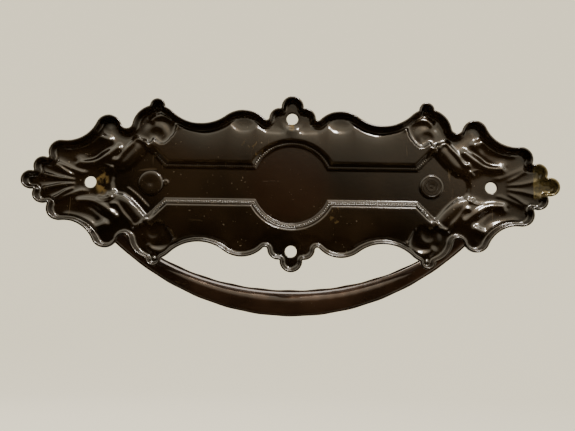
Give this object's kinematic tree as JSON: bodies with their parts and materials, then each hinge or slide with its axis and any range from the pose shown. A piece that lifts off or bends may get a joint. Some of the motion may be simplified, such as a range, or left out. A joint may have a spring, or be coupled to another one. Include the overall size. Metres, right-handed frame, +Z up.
{
  "type": "bail drawer pull",
  "caption": "Stamped bail pull: a scrolled, embossed sheet backplate with riveted posts and a hollow bail handle that swings on end pins.",
  "frame": {"origin": "the middle of the plate, midway between the two end holes, on the back plane that sits on the drawer front", "axes": "+X along the plate, +Y into the drawer front, +Z up; the bail hangs towards -Z in front of the plate"},
  "size_m": [0.1334, 0.0152, 0.0548],
  "materials": {
    "plate_bronze": "glossy dark bronze lacquer over stamped brass",
    "post_bronze": "dark bronze lacquer over turned brass",
    "bail_bronze": "glossy dark bronze lacquer, rubbed on the edges",
    "pin_brass": "bare worn brass"
  },
  "bodies": {
    "plate": {"backplate": "plate_bronze", "left_post": "post_bronze", "right_post": "post_bronze"},
    "bail": {"bail_front": "bail_bronze", "bail_back": "bail_bronze", "left_pivot": "pin_brass", "right_pivot": "pin_brass"}
  },
  "joints": [
    {"name": "bail_swing", "type": "hinge", "parent": "plate", "child": "bail", "pos_m": [0, -0.011, 0], "axis": [-1, 0, 0], "range_deg": [-15, 195]}
  ]
}
